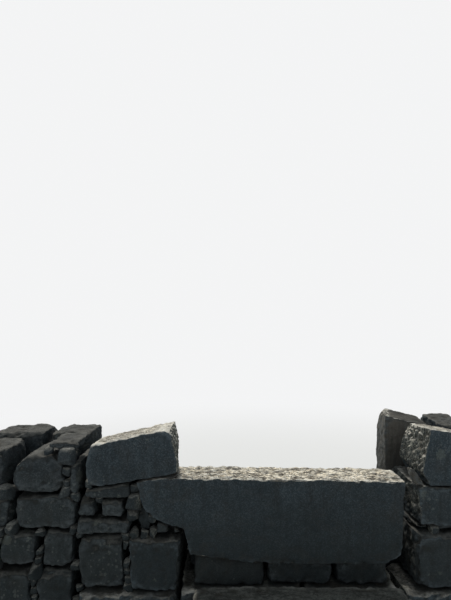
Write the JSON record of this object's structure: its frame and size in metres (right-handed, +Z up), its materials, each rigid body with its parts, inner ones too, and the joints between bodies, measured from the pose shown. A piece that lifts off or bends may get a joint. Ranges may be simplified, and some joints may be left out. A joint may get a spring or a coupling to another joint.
{
  "type": "stone wall stile",
  "caption": "Drystone wall stile: a rough granite slab on edge closes a gap in the wall between block jambs, with a stone step on each side to climb over it.",
  "frame": {"origin": "ground level, middle of the gap and of the wall's thickness", "axes": "X along the wall to the walker's right, Y through the wall to the far side, Z up"},
  "size_m": [3, 1.16, 1.021],
  "materials": {
    "slab_granite": "rough, weathered, pale on top",
    "step_granite": "rough, damp, trodden on top",
    "block_granite": "rough split, lichened",
    "rubble_granite": "rough field stone, lichen and moss"
  },
  "bodies": {
    "root": {"far_step_risers": "step_granite", "far_step_tread": "step_granite", "left_back_base": "block_granite", "left_back_block": "block_granite", "left_back_cope": "rubble_granite", "left_back_lower": "block_granite", "left_base_block": "block_granite", "left_bedding_stone": "rubble_granite", "left_boulder": "rubble_granite", "left_cope_stones": "rubble_granite", "left_face_bed": "rubble_granite", "left_face_stones": "rubble_granite", "left_flat_stone": "rubble_granite", "left_lower_block": "block_granite", "left_lower_facing": "rubble_granite", "left_packing_stones": "rubble_granite", "left_pinning_stones": "rubble_granite", "left_tail_backing": "rubble_granite", "left_top_block": "block_granite", "left_wing_course_1": "rubble_granite", "left_wing_course_2": "rubble_granite", "left_wing_course_3": "rubble_granite", "left_wing_course_4": "rubble_granite", "near_step_risers": "step_granite", "near_step_tread": "step_granite", "rear_sill": "step_granite", "right_back_base": "block_granite", "right_back_block": "block_granite", "right_back_lower": "block_granite", "right_back_upright": "block_granite", "right_base_block": "block_granite", "right_cope_stones": "rubble_granite", "right_hearting": "rubble_granite", "right_lower_block": "block_granite", "right_middle_block": "block_granite", "right_packing_stones": "rubble_granite", "right_top_block": "block_granite", "right_wedge_stone": "rubble_granite", "right_wing_course_1": "rubble_granite", "right_wing_course_2": "rubble_granite", "right_wing_course_3": "rubble_granite", "right_wing_course_4": "rubble_granite", "slab_footings": "step_granite", "stile_slab": "slab_granite", "threshold_base": "step_granite"}
  },
  "joints": []
}
